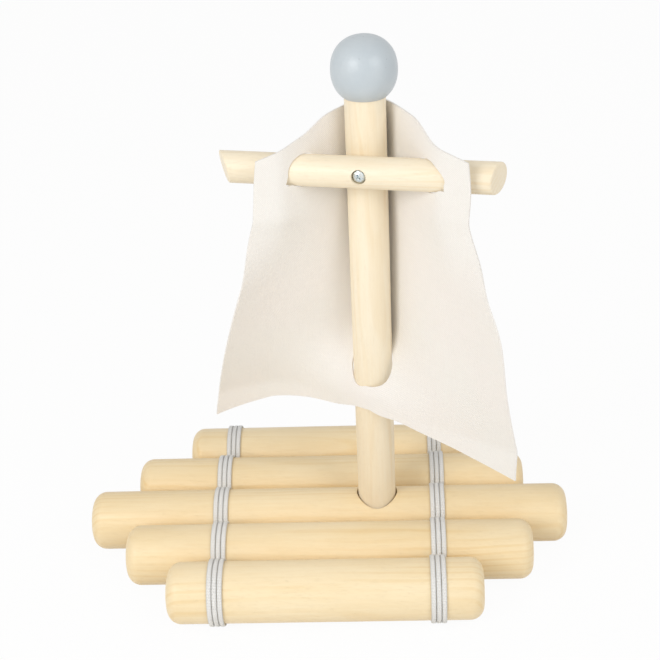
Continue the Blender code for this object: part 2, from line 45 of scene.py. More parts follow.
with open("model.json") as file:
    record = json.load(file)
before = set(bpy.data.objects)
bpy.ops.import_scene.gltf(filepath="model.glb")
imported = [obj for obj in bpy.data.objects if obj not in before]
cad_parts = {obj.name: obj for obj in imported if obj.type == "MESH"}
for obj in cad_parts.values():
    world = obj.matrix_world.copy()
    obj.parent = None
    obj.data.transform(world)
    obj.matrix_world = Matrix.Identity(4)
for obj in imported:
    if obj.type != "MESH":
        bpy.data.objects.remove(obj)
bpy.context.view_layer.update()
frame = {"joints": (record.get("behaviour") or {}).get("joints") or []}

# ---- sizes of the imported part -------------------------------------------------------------

LOGS = ("log_back", "log_mid_back", "log_keel", "log_mid_front", "log_front")
LOG_RADIUS = 14.0 * MM
LOG_END_ROUND = 6.3 * MM

CORD_WIDTH = 2.26 * MM
CORD_THICKNESS = 1.15 * MM
CORD_SEAT = 0.2 * MM
CORD_LANE = 2.4 * MM
CORD_TURNS = 3
CORD_ENTRY_HEIGHT = 6.0 * MM
CORD_GAP_HEIGHTS = (3.0 * MM, 1.0 * MM, -1.0 * MM, -3.0 * MM)
CORD_SIDE_PLAY = 0.06 * MM
CORD_LANE_TURN = 2.1
CORD_ARC_STEP = 0.1
CORD_STEP = 0.75 * MM
CORD_ROUTE_STEP = 0.7 * MM
CORD_ROUTE_PASSES = 3
BRAID_STRANDS = 8
LASHINGS = {
    "lashing_left": (-50.7 * MM, -52.6 * MM, -51.6 * MM, -49.8 * MM, -48.6 * MM),
    "lashing_right": (53.6 * MM, 53.9 * MM, 53.1 * MM, 52.4 * MM, 51.2 * MM),
}
KNOT_ANGLE = 0.62
KNOT_TURNS = 3.5
KNOT_REACH = 0.62
KNOT_STEP = 0.4 * MM
KNOT_WRAP_HALF = (0.85 * MM, 0.62 * MM)
KNOT_CORE_HALF = (0.62 * MM, 0.55 * MM)
KNOT_CORE_SWAY = (0.45 * MM, 0.25 * MM)

MAST_RADIUS = 9.0 * MM
SOCKET_DEPTH = 20.0 * MM
SOCKET_RADIUS = 9.8 * MM

BALL_RADIUS = 14.4 * MM
BALL_HALF_HEIGHT = 14.7 * MM
BALL_FULLNESS = 2.2
BALL_BORE_DEPTH = 17.0 * MM

YARD_RADIUS = 7.0 * MM
YARD_HALF_LENGTH = 60.1 * MM
YARD_DEPTH = 16.3 * MM
YARD_CUT_LEFT = (0.54, 0.20)
YARD_CUT_RIGHT = (0.36, 0.06)
YARD_END_ROUND = 0.8 * MM

SCREW_SHANK_RADIUS = 1.7 * MM
SCREW_HEAD_RADIUS = 2.85 * MM
SCREW_HEAD_HEIGHT = 1.8 * MM
SCREW_IN_MAST = 10.0 * MM
CROSS_DEPTH = 2.2 * MM
CROSS_TOP = (3.6 * MM, 0.85 * MM)
CROSS_FLOOR = (1.4 * MM, 0.55 * MM)
CROSS_ANGLE = radians(38.0)
RECESS_DEPTH = 3.0 * MM
RECESS_RADIUS = 3.2 * MM
GAP = 0.3 * MM

SAIL_THICKNESS = 0.8 * MM
SAIL_HALF_FOOT = 81.0 * MM
SAIL_STRAP_WIDTH = 16.3 * MM
SAIL_CROWN_RISE = 24.6 * MM
SAIL_CROWN_HALF = 28.0 * MM
SAIL_CROWN_FALL = 2.7 * MM
SAIL_CROWN_SHIFT = 2.5 * MM
SAIL_CROWN_BLEND = 16.0 * MM
SAIL_SHOULDER_SLOPE = 0.29
SAIL_FOOT_DROP = 3.7 * MM
SAIL_FOOT_RISE = 8.5 * MM
SAIL_FOOT_DIP = 6.0 * MM
SAIL_DIP_PLACE = 1.5 * MM
SAIL_DIP_WIDTH = 10.0 * MM
SAIL_SWELLS = ((4.5 * MM, 64.0 * MM, 20.0 * MM), (-4.6 * MM, 107.0 * MM, 14.0 * MM))
SAIL_FOOT_Z = 69.65 * MM
SAIL_BEND_HEAD = radians(51.3)
SAIL_BEND_FOOT_LEFT = radians(58.0)
SAIL_BEND_FOOT_RIGHT = radians(25.9)
SAIL_STRAP_SHARE = 0.47
SAIL_STRAP_START = 2.4 * MM
SAIL_STRAP_TURN = 8.0 * MM
SAIL_LEAN_HEAD = radians(3.5)
SAIL_LEAN_FOOT = radians(-11.9)
SAIL_SLIDE = 3.2 * MM
SAIL_ROLL = 0.016
SAIL_FOOT_DEPTH_LEFT = 9.5 * MM
SAIL_FOOT_DEPTH_RIGHT = -11.5 * MM
SAIL_BEND_START = 9.0 * MM
SAIL_STRAIGHT_HEAD = 18.7 * MM
SAIL_MAST_TURN = 10.0 * MM
SAIL_BEHIND_MAST = 10.75 * MM
MAST_RIM = 0.3 * MM
YARD_RIM = 0.3 * MM
SAIL_GRID = 2.2 * MM
MAST_HOLE_ABOVE_FOOT = 28.7 * MM
MAST_HOLE = (-1.2 * MM, 28.0 * MM)
MAST_HOLE_HALF = (10.2 * MM, 13.8 * MM)
RIM_POINTS = 56
RIM_SEARCH = 32.0 * MM
RIM_HALVINGS = 22
# For each side: how far out the corner is at the yard's height and at its lowest, and how low it is.
YARD_HOLE_CORNERS = {-1: (8.9 * MM, 10.8 * MM, -4.4 * MM), 1: (10.4 * MM, 10.7 * MM, -5.2 * MM)}

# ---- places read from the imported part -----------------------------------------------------

TURN = next(j for j in frame["joints"] if j["name"] == "mast_turn")
PIVOT = next(j for j in frame["joints"] if j["name"] == "yard_pivot")
MAST_X = TURN["pos_m"][0]
MAST_YAW = atan2(-PIVOT["axis"][0], PIVOT["axis"][1])
ACROSS = Vector((cos(MAST_YAW), sin(MAST_YAW), 0.0))
SCREW_SHIFT = (Vector(PIVOT["pos_m"]) - Vector(TURN["pos_m"])).dot(ACROSS)
YARD_Z = PIVOT["pos_m"][2]


def middle_of(node):
    low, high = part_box(node)
    return (low + high) / 2


LOG_Y = [middle_of(name).y for name in LOGS]
AXIS_Z = middle_of(LOGS[0]).z
MAST_BOTTOM, MAST_TOP = (corner.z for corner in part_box("mast"))
BALL_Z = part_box("mast_ball")[1].z - BALL_HALF_HEIGHT

SAIL_TO_YARD = YARD_Z - SAIL_FOOT_Z
SAIL_BEND_REACH = SAIL_TO_YARD - SAIL_STRAIGHT_HEAD
SAIL_SHOULDER_RISE = YARD_RADIUS + 2.0 * MM
STRAP_FROM_MIDDLE = (SAIL_BEHIND_MAST + YARD_DEPTH + YARD_RADIUS) / sin(SAIL_BEND_HEAD) + SAIL_STRAP_START
SAIL_HALF_HEAD = STRAP_FROM_MIDDLE + SAIL_STRAP_WIDTH
MAST_STEP = 1.86 * SAIL_BEHIND_MAST
SAIL_TENT_WIDTH = 2.05 * SAIL_BEHIND_MAST

# The mast's own frame: X along the yard, Y away from the viewer, Z up.
MAST_FRAME = Matrix.Translation((MAST_X, 0.0, 0.0)) @ Matrix.Rotation(MAST_YAW, 4, "Z")
UPRIGHT = Matrix.Rotation(-pi / 2, 4, "Y")
FACING = Matrix.Rotation(-pi / 2, 4, "Z")


# ---- materials ----------------------------------------------------------------------------

# Early and late wood, then for each log its ring centre's (y, z) in mm and its lean to late wood.
LOG_TONES = (0.935, 0.790, 0.535), (0.825, 0.600, 0.290)
DOWEL_TONES = (0.940, 0.845, 0.665), (0.860, 0.690, 0.440)
LOG_PITHS = ((30.0, -22.0), (-26.0, 30.0), (38.0, 16.0), (-20.0, -34.0), (34.0, 24.0))
LOG_WARMTHS = (-0.02, 0.12, 0.12, 0.06, -0.06)
BRAID_MM = 1.3
THREAD_MM = 0.46


class Nodes:
    """A material's node tree, built one node at a time."""

    def __init__(self, name, owner=None):
        self.mat = owner or bpy.data.materials.new(name)
        self.mat.use_nodes = True
        self.tree = self.mat.node_tree
        self.tree.nodes.clear()

    def put(self, socket, value):
        if isinstance(value, bpy.types.NodeSocket):
            self.tree.links.new(value, socket)
        else:
            socket.default_value = value

    def add(self, kind, inputs=None, **settings):
        node = self.tree.nodes.new(kind)
        for key, value in settings.items():
            setattr(node, key, value)
        for key, value in (inputs or {}).items():
            self.put(node.inputs[key], value)
        return node

    def maths(self, operation, *values, clamp=False):
        node = self.add("ShaderNodeMath", dict(enumerate(values)), operation=operation, use_clamp=clamp)
        return node.outputs[0]

    def vector(self, operation, a, b):
        node = self.add("ShaderNodeVectorMath", {0: a, 1: b}, operation=operation)
        return node.outputs["Value" if operation in ("LENGTH", "DISTANCE") else "Vector"]

    def noise(self, at, stretch, detail=2.0, roughness=0.5, output="Fac"):
        """Noise over coordinates that are first scaled by stretch, one number for each axis."""
        node = self.add("ShaderNodeTexNoise", {"Vector": self.vector("MULTIPLY", at, stretch), "Scale": 1.0,
                                               "Detail": detail, "Roughness": roughness})
        return node.outputs[output]

    def step(self, value, low, high, to_low=0.0, to_high=1.0):
        node = self.add("ShaderNodeMapRange", {"Value": value, "From Min": low, "From Max": high,
                                               "To Min": to_low, "To Max": to_high},
                        interpolation_type="SMOOTHSTEP")
        return node.outputs["Result"]

    def mix(self, share, a, b, blend="MIX"):
        node = self.add("ShaderNodeMix", {"Factor": share}, data_type="RGBA", blend_type=blend)
        self.put(node.inputs[6], a if isinstance(a, bpy.types.NodeSocket) else (*a, 1.0))
        self.put(node.inputs[7], b if isinstance(b, bpy.types.NodeSocket) else (*b, 1.0))
        return node.outputs[2]

    def bump(self, height, distance, strength=1.0):
        node = self.add("ShaderNodeBump", {"Height": height, "Distance": distance, "Strength": strength})
        return node.outputs["Normal"]

    def surface(self, inputs):
        shader = self.add("ShaderNodeBsdfPrincipled", inputs)
        output = self.add("ShaderNodeOutputMaterial")
        self.tree.links.new(shader.outputs[0], output.inputs["Surface"])
        return self.mat


def wood(name, seed, pith, pitch, warmth, tones):
    """Pale close-grained wood whose fibres run along X, with rings pitch mm apart round the pith."""
    g = Nodes(name)
    spot = g.add("ShaderNodeTexCoord").outputs["Object"]
    at = g.vector("ADD", g.vector("MULTIPLY", spot, (1000.0,) * 3), (137.0 * seed, 0.0, 0.0))
    wander = g.vector("SUBTRACT", g.noise(at, (0.007, 0.022, 0.022), output="Color"), (0.5,) * 3)
    wander = g.vector("MULTIPLY", wander, (0.0, 13.0, 13.0))
    across = g.vector("MULTIPLY", g.vector("ADD", at, wander), (0.0, 1.0, 1.0))
    reach = g.vector("DISTANCE", across, (0.0, *pith))
    ring = g.maths("SINE", g.maths("MULTIPLY", reach, 2 * pi / pitch))
    late = g.step(ring, 0.1, 1.0)
    patchy = g.step(g.noise(at, (0.011, 0.06, 0.06)), 0.35, 0.65)
    late = g.maths("MULTIPLY", late, patchy)
    cloud = g.noise(at, (0.014, 0.07, 0.07), detail=3.0)
    fibre = g.noise(at, (0.045, 0.9, 0.9), detail=3.0, roughness=0.6)
    fine = g.noise(at, (0.16, 4.2, 4.2), detail=2.0, roughness=0.6)
    pores = g.step(g.noise(at, (0.30, 6.5, 6.5), detail=1.0), 0.64, 0.74)
    share = g.maths("MULTIPLY", late, 0.30)
    share = g.maths("ADD", share, g.maths("MULTIPLY", g.maths("SUBTRACT", cloud, 0.5), 0.8))
    share = g.maths("ADD", share, g.maths("MULTIPLY", g.maths("SUBTRACT", fibre, 0.5), 0.42))
    share = g.maths("ADD", share, g.maths("MULTIPLY", g.maths("SUBTRACT", fine, 0.5), 0.22))
    share = g.maths("ADD", share, 0.30 + warmth, clamp=True)
    colour = g.mix(share, *tones)
    colour = g.mix(g.maths("MULTIPLY", pores, 0.10), colour, (0.55, 0.33, 0.15))
    height = g.maths("SUBTRACT", g.maths("MULTIPLY", fine, 0.5), g.maths("MULTIPLY", pores, 0.8))
    return g.surface({
        "Base Color": colour,
        "Roughness": g.step(fibre, 0.3, 0.7, 0.40, 0.52),
        "Normal": g.bump(height, 0.00005),
        "Coat Weight": 0.12,
        "Coat Roughness": 0.32,
    })


def ball_paint():
    g = Nodes("ball_paint")
    at = g.vector("MULTIPLY", g.add("ShaderNodeTexCoord").outputs["Object"], (1000.0,) * 3)
    cloud = g.noise(at, (0.09,) * 3, detail=3.0)
    peel = g.noise(at, (0.55,) * 3, detail=2.0)
    specks = g.add("ShaderNodeTexVoronoi", {"Vector": at, "Scale": 0.16, "Randomness": 1.0})
    speck = g.step(specks.outputs["Distance"], 0.028, 0.05, 1.0, 0.0)
    colour = g.mix(g.step(cloud, 0.3, 0.7), (0.520, 0.575, 0.612), (0.552, 0.603, 0.635))
    colour = g.mix(g.maths("MULTIPLY", speck, 0.45), colour, (0.30, 0.32, 0.34))
    return g.surface({
        "Base Color": colour,
        "Roughness": g.step(cloud, 0.3, 0.7, 0.34, 0.42),
        "Normal": g.bump(g.maths("ADD", peel, g.maths("MULTIPLY", speck, 0.6)), 0.00012),
        "Coat Weight": 0.1,
        "Coat Roughness": 0.25,
    })


def cord():
    """White braid. Its map holds the place round the cord in strands, and along it in mm."""
    g = Nodes("cord")
    spot = g.add("ShaderNodeUVMap", uv_map="run").outputs["UV"]
    split = g.add("ShaderNodeSeparateXYZ", {"Vector": spot})
    column = g.maths("FRACT", split.outputs["X"])
    slope = g.maths("ABSOLUTE", g.maths("SUBTRACT", column, 0.5))
    along = g.maths("MULTIPLY", split.outputs["Y"], 1 / BRAID_MM)
    run = g.maths("ADD", along, g.maths("MULTIPLY", slope, 1.3))
    ridge = g.maths("ABSOLUTE", g.maths("SINE", g.maths("MULTIPLY", run, pi)))
    side = g.maths("ABSOLUTE", g.maths("SINE", g.maths("MULTIPLY", column, 2 * pi)))
    height = g.maths("MULTIPLY", g.maths("POWER", ridge, 0.6), g.step(side, 0.0, 0.8, 0.45, 1.0))
    fluff = g.noise(g.vector("MULTIPLY", spot, (1.0, 1.0, 0.0)), (9.0, 2.5, 1.0), detail=2.0)
    # Painted shade: the braid's grooves between strands, where the height is low, are coloured darker; the
    # fluff noise adds uneven fibre tone.
    shade = g.maths("ADD", g.maths("MULTIPLY", height, 0.75), g.maths("MULTIPLY", fluff, 0.35), clamp=True)
    return g.surface({
        "Base Color": g.mix(shade, (0.80, 0.78, 0.73), (1.0, 0.995, 0.975)),
        "Roughness": g.step(fluff, 0.3, 0.7, 0.50, 0.64),
        "Normal": g.bump(height, 0.00024),
        "Sheen Weight": 0.15,
        "Sheen Roughness": 0.4,
    })


def cloth():
    """Cream plain weave. Its map holds the flat cloth's own millimetres."""
    g = Nodes("sail_cloth")
    spot = g.add("ShaderNodeUVMap", uv_map="flat").outputs["UV"]
    bend = g.vector("SUBTRACT", g.noise(spot, (0.05, 0.05, 0.0), output="Color"), (0.5,) * 3)
    even = g.vector("ADD", spot, g.vector("MULTIPLY", bend, (1.4, 1.4, 0.0)))
    split = g.add("ShaderNodeSeparateXYZ", {"Vector": even})
    warp = g.maths("SINE", g.maths("MULTIPLY", split.outputs["X"], pi / THREAD_MM))
    weft = g.maths("SINE", g.maths("MULTIPLY", split.outputs["Y"], pi / THREAD_MM))
    weave = g.maths("MULTIPLY_ADD", g.maths("MULTIPLY", warp, weft), 0.5, 0.5)
    slub_x = g.noise(spot, (0.06, 1.9, 0.0), detail=2.0)
    slub_y = g.noise(spot, (1.9, 0.06, 0.0), detail=2.0)
    slub = g.maths("ADD", slub_x, slub_y)
    cloud = g.noise(spot, (0.022, 0.022, 0.0), detail=2.0)
    colour = g.mix(g.step(cloud, 0.35, 0.65), (0.915, 0.880, 0.840), (0.905, 0.885, 0.842))
    # Painted shade: the hollows between the threads, where the weave is low, are coloured darker and warmer.
    colour = g.mix(g.step(weave, 0.0, 0.6, 0.34, 0.0), colour, (0.76, 0.67, 0.58))
    colour = g.mix(g.step(slub, 0.7, 1.3, 0.0, 0.10), colour, (0.79, 0.73, 0.65))
    height = g.maths("ADD", weave, g.maths("MULTIPLY", slub, 0.25))
    return g.surface({
        "Base Color": colour,
        "Roughness": g.step(slub, 0.7, 1.3, 0.80, 0.92),
        "Normal": g.bump(height, 0.00010),
        "Sheen Weight": 0.08,
        "Sheen Roughness": 0.5,
    })


def zinc():
    g = Nodes("zinc")
    at = g.vector("MULTIPLY", g.add("ShaderNodeTexCoord").outputs["Object"], (1000.0,) * 3)
    patches = g.noise(at, (0.8,) * 3, detail=3.0)
    split = g.add("ShaderNodeSeparateXYZ", {"Vector": at})
    radius = g.maths("SQRT", g.maths("ADD", g.maths("MULTIPLY", split.outputs["Y"], split.outputs["Y"]),
                                     g.maths("MULTIPLY", split.outputs["Z"], split.outputs["Z"])))
    turning = g.maths("SINE", g.maths("MULTIPLY", radius, 42.0))
    return g.surface({
        "Base Color": g.mix(g.step(patches, 0.35, 0.65), (0.60, 0.69, 0.74), (0.76, 0.77, 0.73)),
        "Metallic": 1.0,
        "Roughness": g.step(patches, 0.3, 0.7, 0.24, 0.38),
        "Normal": g.bump(turning, 0.00001),
    })


# ---- mesh tools ---------------------------------------------------------------------------

def new_object(name, mesh, mat, body, place=Matrix.Identity(4), instead_of=None):
    mesh.materials.clear()
    mesh.materials.append(mat)
    obj = bpy.data.objects.new(name, mesh)
    bpy.context.scene.collection.objects.link(obj)
    obj.matrix_world = place
    if body:
        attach(obj, body)
    if instead_of:
        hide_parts(instead_of)
    return obj


def tube_mesh(name, rings, along=None, strands=None):
    """A capped tube through rings, an array of (ring, corner, xyz). along gives its map's length."""
    count, corners = rings.shape[:2]
    index = np.arange(count * corners).reshape(count, corners)
    turned = np.roll(index, -1, axis=1)
    quads = np.stack([index[:-1], turned[:-1], turned[1:], index[1:]], -1).reshape(-1, 4)
    faces = [*quads.tolist(), index[0][::-1].tolist(), index[-1].tolist()]
    mesh = bpy.data.meshes.new(name)
    mesh.from_pydata(rings.reshape(-1, 3).tolist(), [], faces)
    if along is not None:
        layer = mesh.uv_layers.new(name="run")
        side = np.arange(corners) / corners * strands
        ahead = side + strands / corners
        low, high = np.repeat(along[:-1], corners), np.repeat(along[1:], corners)
        side, ahead = np.tile(side, count - 1), np.tile(ahead, count - 1)
        around = np.stack([side, low, ahead, low, ahead, high, side, high], -1).reshape(-1, 2)
        caps = np.full((2 * corners, 2), along[0])
        layer.data.foreach_set("uv", np.concatenate([around, caps]).ravel())
    clean(mesh)
    return mesh


def clean(mesh, angle=38.0):
    bm = bmesh.new()
    bm.from_mesh(mesh)
    bmesh.ops.recalc_face_normals(bm, faces=bm.faces)
    bm.to_mesh(mesh)
    bm.free()
    mesh.shade_smooth()
    mesh.set_sharp_from_angle(angle=radians(angle))


def turned_rings(profile, corners):
    """Rings round X for a profile of (x, radius)."""
    angles = np.arange(corners) * 2 * pi / corners
    circle = np.stack([np.zeros(corners), np.cos(angles), np.sin(angles)], -1)
    return np.array([circle * radius + (x, 0.0, 0.0) for x, radius in profile])


def rod_profile(start, end, radius, rounding, steps=10):
    """Outline of a round bar with rounded end edges, from start to end along X."""
    low = []
    for k in range(steps + 1):
        a = pi / 2 * k / steps
        low.append((start + rounding * (1 - cos(a)), radius - rounding * (1 - sin(a))))
    return low + [(start + end - x, r) for x, r in reversed(low)]


def cut(mesh, place, tools):
    """The mesh with each tool taken out of it. A tool is its profile round X and its place."""
    scene = bpy.context.scene.collection
    obj = bpy.data.objects.new("solid", mesh)
    scene.objects.link(obj)
    obj.matrix_world = place
    made = []
    for k, (tool_mesh, tool_place) in enumerate(tools):
        tool = bpy.data.objects.new("tool_%d" % k, tool_mesh)
        scene.objects.link(tool)
        tool.matrix_world = tool_place
        mod = obj.modifiers.new(tool.name, "BOOLEAN")
        mod.operation = "DIFFERENCE"
        mod.solver = "EXACT"
        mod.object = tool
        made.append(tool)
    bpy.context.view_layer.update()
    evaluated = obj.evaluated_get(bpy.context.evaluated_depsgraph_get())
    result = bpy.data.meshes.new_from_object(evaluated)
    for item in (obj, *made):
        bpy.data.objects.remove(item, do_unlink=True)
    result.name = mesh.name
    clean(result)
    return result


def drill(start, end, radius, corners=64):
    return tube_mesh("drill", turned_rings([(start, radius), (end, radius)], corners))


def smooth_step(x):
    x = np.clip(x, 0.0, 1.0)
    return x * x * (3 - 2 * x)


# ---- raft ---------------------------------------------------------------------------------

def build_logs():
    for index, name in enumerate(LOGS):
        low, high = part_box(name)
        half = (high.x - low.x) / 2
        place = Matrix.Translation(middle_of(name))
        mesh = tube_mesh(name, turned_rings(rod_profile(-half, half, LOG_RADIUS, LOG_END_ROUND, 12), 96))
        if name == "log_keel":
            top = AXIS_Z + LOG_RADIUS
            socket = drill(top - SOCKET_DEPTH, top + LOG_RADIUS, SOCKET_RADIUS, 96)
            mesh = cut(mesh, place, [(socket, MAST_FRAME @ UPRIGHT)])
        pitch = 2.2 + 0.3 * index
        mat = wood("log_wood_%d" % index, index + 1, LOG_PITHS[index], pitch, LOG_WARMTHS[index], LOG_TONES)
        new_object("look_" + name, mesh, mat, "raft", place, name)


def cord_route(places):
    """The lashing cord's middle line as rows of x, y, z and half width, wound as a figure of eight."""
    hug = LOG_RADIUS + CORD_SEAT + CORD_THICKNESS / 2
    enter = asin(CORD_ENTRY_HEIGHT / hug)
    squeezed = CORD_LANE / 4 - CORD_SIDE_PLAY
    pitch = LOG_Y[0] - LOG_Y[1]
    free_middle = pitch / 2 - LOG_RADIUS
    front = len(LOGS) - 1
    points = []

    def arc(index, a0, a1, lane0, lane1):
        """Round a log; angle 0 is towards +Y, and a quarter turn is straight up."""
        steps = round(abs(a1 - a0) / CORD_ARC_STEP)
        for k in range(steps + 1):
            a = a0 + (a1 - a0) * k / steps
            lane = lane0 + (lane1 - lane0) * float(smooth_step((a + CORD_LANE_TURN) / CORD_LANE_TURN))
            y = LOG_Y[index] + hug * cos(a)
            points.append((places[index] + lane, y, AXIS_Z + hug * sin(a), CORD_WIDTH / 2))

    def through_gap(index_from, index_to, lane, falling):
        """Between two logs, squeezed beside the strand that goes the other way."""
        middle = (LOG_Y[index_from] + LOG_Y[index_to]) / 2
        outward = index_to > index_from
        towards = 1 if outward else -1
        x = (places[index_from] + places[index_to]) / 2 + lane
        x += -CORD_LANE / 4 if outward else CORD_LANE / 4
        for h, side in zip(CORD_GAP_HEIGHTS, (towards, 0, 0, -towards)):
            free = free_middle + LOG_RADIUS - sqrt(LOG_RADIUS ** 2 - h ** 2)
            y = middle + side * (free - CORD_SEAT - CORD_THICKNESS / 2)
            points.append((x, y, AXIS_Z + (h if falling else -h), squeezed))

    lanes = [(k - (CORD_TURNS - 1) / 2) * CORD_LANE for k in range(CORD_TURNS)]
    for turn, lane in enumerate(lanes):
        if turn == 0:
            arc(0, KNOT_ANGLE - pi, pi - enter, lane - CORD_LANE, lane)
        else:
            arc(0, enter - pi, pi - enter, lanes[turn - 1], lane)
        for index in range(1, front):
            under = index % 2 == 1
            through_gap(index - 1, index, lane, falling=under)
            sign = -1 if under else 1
            arc(index, sign * enter, sign * (pi - enter), lane, lane)
        through_gap(front - 1, front, lane, falling=False)
        arc(front, enter, 2 * pi - enter, lane, lane)
        for index in range(front - 1, 0, -1):
            over = index % 2 == 1
            through_gap(index + 1, index, lane, falling=not over)
            sign = 1 if over else -1
            arc(index, sign * (pi - enter), sign * enter, lane, lane)
        through_gap(1, 0, lane, falling=True)
    arc(0, enter - pi, KNOT_ANGLE - pi, lanes[-1], lanes[-1])
    return np.array(points)


def resample(rows, step):
    """The route's rows at an even spacing, and the distance along it at each."""
    gaps = np.linalg.norm(np.diff(rows[:, :3], axis=0), axis=1)
    far = np.concatenate([[0.0], np.cumsum(gaps)])
    at = np.linspace(0.0, far[-1], round(far[-1] / step) + 1)
    return np.stack([np.interp(at, far, rows[:, k]) for k in range(rows.shape[1])], -1), at


def flat_rings(route, across, thickness, corners=14, power=0.72):
    """Rounded flat sections along a route: half widths in its fourth column, lying along across."""
    centres = route[:, :3]
    along = np.gradient(centres, axis=0)
    up = np.cross(along, across)
    up /= np.linalg.norm(up, axis=1)[:, None]
    side = np.cross(up, along)
    side /= np.linalg.norm(side, axis=1)[:, None]
    angles = (np.arange(corners) + 0.5) * 2 * pi / corners
    wide = np.sign(np.cos(angles)) * np.abs(np.cos(angles)) ** power
    tall = np.sign(np.sin(angles)) * np.abs(np.sin(angles)) ** power
    half = route[:, 3][:, None, None]
    return centres[:, None] + side[:, None] * wide[None, :, None] * half + (
        up[:, None] * tall[None, :, None] * thickness / 2)


def build_lashing(name, places, mat):
    route, _ = resample(cord_route(places), CORD_ROUTE_STEP)
    for _ in range(CORD_ROUTE_PASSES):
        route[1:-1] = (route[:-2] + 2 * route[1:-1] + route[2:]) / 4
    route, far = resample(route, CORD_STEP)
    rings = flat_rings(route, (1.0, 0.0, 0.0), CORD_THICKNESS)
    mesh = tube_mesh(name, rings, far / MM, strands=BRAID_STRANDS)
    new_object("look_" + name, mesh, mat, "raft", instead_of=name)


def build_knot(node, mat):
    """The cord's two ends as a short core with a coil round it."""
    low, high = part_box(node)
    half, radius = (high.x - low.x) / 2, (high.z - low.z) / 2
    wide, thick = KNOT_WRAP_HALF
    a = np.linspace(0.0, 2 * pi * KNOT_TURNS, 170)
    x = np.linspace(-KNOT_REACH, KNOT_REACH, len(a)) * half
    coil = [x, (radius - thick) * np.cos(a), (radius - thick) * np.sin(a), np.full(len(a), wide)]
    core_wide, core_thick = KNOT_CORE_HALF
    sway_y, sway_z = KNOT_CORE_SWAY
    x = np.linspace(-1.0, 1.0, 40) * (half - GAP)
    core = [x, sway_y * np.sin(x / half * 2.2), sway_z * np.cos(x / half * 3.0), np.full(len(x), core_wide)]
    parts = []
    for rows, across, depth in ((coil, (1.0, 0.0, 0.0), thick), (core, (0.0, 0.0, 1.0), core_thick)):
        rows, far = resample(np.stack(rows, -1), KNOT_STEP)
        parts.append(tube_mesh(node, flat_rings(rows, across, 2 * depth), far / MM, strands=BRAID_STRANDS))
    bm = bmesh.new()
    for part in parts:
        bm.from_mesh(part)
    mesh = parts[0]
    bm.to_mesh(mesh)
    bm.free()
    new_object("look_" + node, mesh, mat, "raft", Matrix.Translation(middle_of(node)), node)


def build_lashings():
    mat = cord()
    for name, places in LASHINGS.items():
        build_lashing(name, places, mat)
        build_knot(name.replace("lashing", "lashing_knot"), mat)


# ---- mast, ball, yard and screw -----------------------------------------------------------

def screw_place():
    """On the pivot's axis at the mast's own axis, with X pointing at the viewer."""
    return MAST_FRAME @ Matrix.Translation((SCREW_SHIFT, 0.0, YARD_Z)) @ FACING


def build_mast():
    mesh = tube_mesh("mast", turned_rings(rod_profile(MAST_BOTTOM, MAST_TOP, MAST_RADIUS, 0.8 * MM, 5), 112))
    place = MAST_FRAME @ UPRIGHT
    pilot = drill(MAST_RADIUS - SCREW_IN_MAST - GAP, 2 * MAST_RADIUS, SCREW_SHANK_RADIUS + GAP, 32)
    mesh = cut(mesh, place, [(pilot, screw_place())])
    mat = wood("mast_wood", 9, (36.0, 18.0), 2.6, -0.10, DOWEL_TONES)
    new_object("look_mast", mesh, mat, "mast", place, "mast")


def build_ball():
    bore = MAST_RADIUS + GAP
    share = (bore / BALL_RADIUS) ** BALL_FULLNESS
    rim = -BALL_HALF_HEIGHT * (1 - share) ** (1 / BALL_FULLNESS)
    a0 = asin(rim / BALL_HALF_HEIGHT)
    profile = [(rim, bore)]
    steps = 60
    for k in range(1, steps):
        a = a0 + (pi / 2 - a0) * k / steps
        x = BALL_HALF_HEIGHT * sin(a)
        radius = BALL_RADIUS * (1 - abs(sin(a)) ** BALL_FULLNESS) ** (1 / BALL_FULLNESS)
        profile.append((x, radius))
    profile.append((BALL_HALF_HEIGHT, 0.02 * MM))
    top = -BALL_HALF_HEIGHT + BALL_BORE_DEPTH
    profile = [(top, 0.02 * MM), (top, bore)] + profile
    mesh = tube_mesh("mast_ball", turned_rings(profile, 112))
    place = MAST_FRAME @ Matrix.Translation((0.0, 0.0, BALL_Z)) @ UPRIGHT
    new_object("look_mast_ball", mesh, ball_paint(), "mast", place, "mast_ball")


def build_yard():
    corners = 112
    angles = np.arange(corners) * 2 * pi / corners
    rings = []
    for end, (deeper, higher) in ((-1, YARD_CUT_LEFT), (1, YARD_CUT_RIGHT)):
        ends = []
        for k in range(7):
            a = pi / 2 * k / 6
            ends.append((YARD_RADIUS - YARD_END_ROUND * (1 - sin(a)), YARD_END_ROUND * (1 - cos(a))))
        for radius, inset in (ends if end < 0 else reversed(ends)):
            depth, up = radius * np.cos(angles), radius * np.sin(angles)
            longer = depth * deeper + up * higher
            rings.append(np.stack([end * (YARD_HALF_LENGTH + longer - inset), depth, up], -1))
    mesh = tube_mesh("yard", np.array(rings))
    place = MAST_FRAME @ Matrix.Translation((0.0, -YARD_DEPTH, YARD_Z))
    floor = YARD_DEPTH + YARD_RADIUS - RECESS_DEPTH
    recess = drill(floor, 2 * floor, RECESS_RADIUS, 64)
    hole = drill(0.0, 2 * floor, SCREW_SHANK_RADIUS + GAP, 32)
    mesh = cut(mesh, place, [(recess, screw_place()), (hole, screw_place())])
    mat = wood("yard_wood", 13, (-30.0, 26.0), 2.4, -0.06, DOWEL_TONES)
    new_object("look_yard", mesh, mat, "yard", place, "yard")


